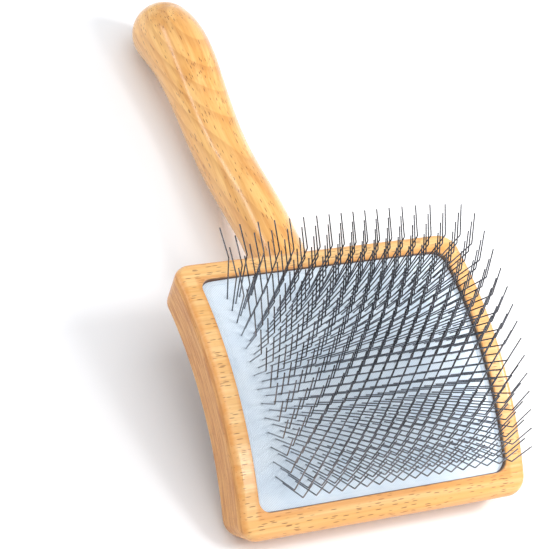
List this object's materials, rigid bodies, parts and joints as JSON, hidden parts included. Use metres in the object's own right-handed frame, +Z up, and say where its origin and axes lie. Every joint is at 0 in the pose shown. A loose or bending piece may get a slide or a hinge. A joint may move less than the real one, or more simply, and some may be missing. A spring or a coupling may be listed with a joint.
{
  "type": "slicker brush",
  "caption": "Pet slicker brush: curved wooden head with a cushioned pad of long bent steel wire pins, and an S-curved wooden handle screwed to its back.",
  "frame": {"origin": "bottom centre of the bounding box, on the table that the brush lies on", "axes": "+X across the head, +Y towards the end of the handle, +Z up, out of the side with the pins"},
  "size_m": [0.12, 0.2576, 0.0742],
  "materials": {
    "wood_head": "clear satin lacquer, grain across the head",
    "wood_handle": "clear satin lacquer, grain along the handle",
    "screw_steel": "zinc plated",
    "foam": "open-cell foam",
    "backing": "woven cotton",
    "pad_cloth": "pale blue twill",
    "pin_steel": "bare drawn wire"
  },
  "bodies": {
    "handle_frame": {"head_block": "wood_head", "handle": "wood_handle", "handle_screws": "screw_steel", "foam_cushion": "foam"},
    "pin_pad": {"backing_cloth": "backing", "face_cloth": "pad_cloth", "pin_row_01": "pin_steel", "pin_row_02": "pin_steel", "pin_row_03": "pin_steel", "pin_row_04": "pin_steel", "pin_row_05": "pin_steel", "pin_row_06": "pin_steel", "pin_row_07": "pin_steel", "pin_row_08": "pin_steel", "pin_row_09": "pin_steel", "pin_row_10": "pin_steel", "pin_row_11": "pin_steel", "pin_row_12": "pin_steel", "pin_row_13": "pin_steel", "pin_row_14": "pin_steel", "pin_row_15": "pin_steel", "pin_row_16": "pin_steel", "pin_row_17": "pin_steel", "pin_row_18": "pin_steel", "pin_row_19": "pin_steel", "pin_row_20": "pin_steel", "pin_row_21": "pin_steel", "pin_row_22": "pin_steel", "pin_row_23": "pin_steel", "pin_row_24": "pin_steel", "pin_row_25": "pin_steel", "pin_row_26": "pin_steel", "pin_row_27": "pin_steel", "pin_row_28": "pin_steel"}
  },
  "joints": [
    {"name": "pad_press", "type": "slide", "parent": "handle_frame", "child": "pin_pad", "axis": [0, -0.3165, 0.9486], "range_m": [-0.0015, 0], "stiffness_N_per_m": 10000, "springref_m": 0.0003, "deforming": ["foam_cushion"]}
  ]
}
